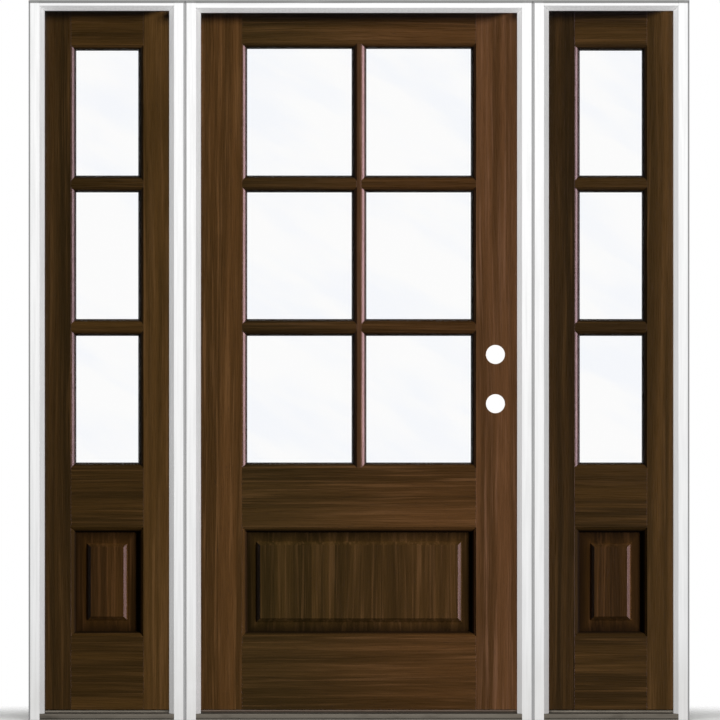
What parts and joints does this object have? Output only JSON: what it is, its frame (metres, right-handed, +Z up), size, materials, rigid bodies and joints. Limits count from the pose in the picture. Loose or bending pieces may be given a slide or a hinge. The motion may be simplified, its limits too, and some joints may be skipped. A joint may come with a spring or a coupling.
{
  "type": "entry door unit with sidelites",
  "caption": "Prehung inswing entry door of stained wood with divided glass over a raised panel, between two matching fixed sidelites in white jambs on metal sills.",
  "frame": {"origin": "on the underside of the door sill, midway between its ends and midway through the jamb depth", "axes": "+X to the right seen from outside, +Y into the house, +Z up"},
  "size_m": [1.8724, 0.1298, 2.04],
  "materials": {
    "door_wood": "dark walnut stain, satin lacquer",
    "sidelite_wood": "dark walnut stain, satin lacquer",
    "jamb_paint": "white primed, smooth",
    "glass": "clear insulated glass",
    "sill_aluminium": "bronze grey mill finish",
    "cap_wood": "grey brown sealed",
    "seal_foam": "matte foam-filled vinyl",
    "sweep_vinyl": "black flexible vinyl",
    "hinge_steel": "satin nickel plate"
  },
  "bodies": {
    "frame": {"door_hinge_jamb": "jamb_paint", "door_strike_jamb": "jamb_paint", "door_head_jamb": "jamb_paint", "door_stops": "jamb_paint", "door_weatherstrip": "seal_foam", "door_sill": "sill_aluminium", "door_threshold_cap": "cap_wood", "jamb_hinge_leaves": "hinge_steel", "hinge_pins": "hinge_steel", "left_sidelite_outer_jamb": "jamb_paint", "left_sidelite_mull_jamb": "jamb_paint", "left_sidelite_head_jamb": "jamb_paint", "left_sidelite_stops": "jamb_paint", "left_sidelite_sill": "sill_aluminium", "left_sidelite_stiles": "sidelite_wood", "left_sidelite_rails": "sidelite_wood", "left_sidelite_muntins": "sidelite_wood", "left_sidelite_glass": "glass", "left_sidelite_glazing_beads": "sidelite_wood", "left_sidelite_panel": "sidelite_wood", "right_sidelite_outer_jamb": "jamb_paint", "right_sidelite_mull_jamb": "jamb_paint", "right_sidelite_head_jamb": "jamb_paint", "right_sidelite_stops": "jamb_paint", "right_sidelite_sill": "sill_aluminium", "right_sidelite_stiles": "sidelite_wood", "right_sidelite_rails": "sidelite_wood", "right_sidelite_muntins": "sidelite_wood", "right_sidelite_glass": "glass", "right_sidelite_glazing_beads": "sidelite_wood", "right_sidelite_panel": "sidelite_wood"},
    "door": {"door_hinge_stile": "door_wood", "door_lock_stile": "door_wood", "door_top_rail": "door_wood", "door_mid_rail": "door_wood", "door_bottom_rail": "door_wood", "door_vertical_muntin": "door_wood", "door_cross_muntins": "door_wood", "door_glass": "glass", "door_glazing_beads": "door_wood", "door_panel": "door_wood", "door_sweep": "sweep_vinyl", "door_hinge_leaves": "hinge_steel"}
  },
  "joints": [
    {"name": "door_swing", "type": "hinge", "parent": "frame", "child": "door", "pos_m": [-0.4597, 0.06545, 1], "axis": [0, 0, 1], "range_deg": [0, 170]}
  ]
}
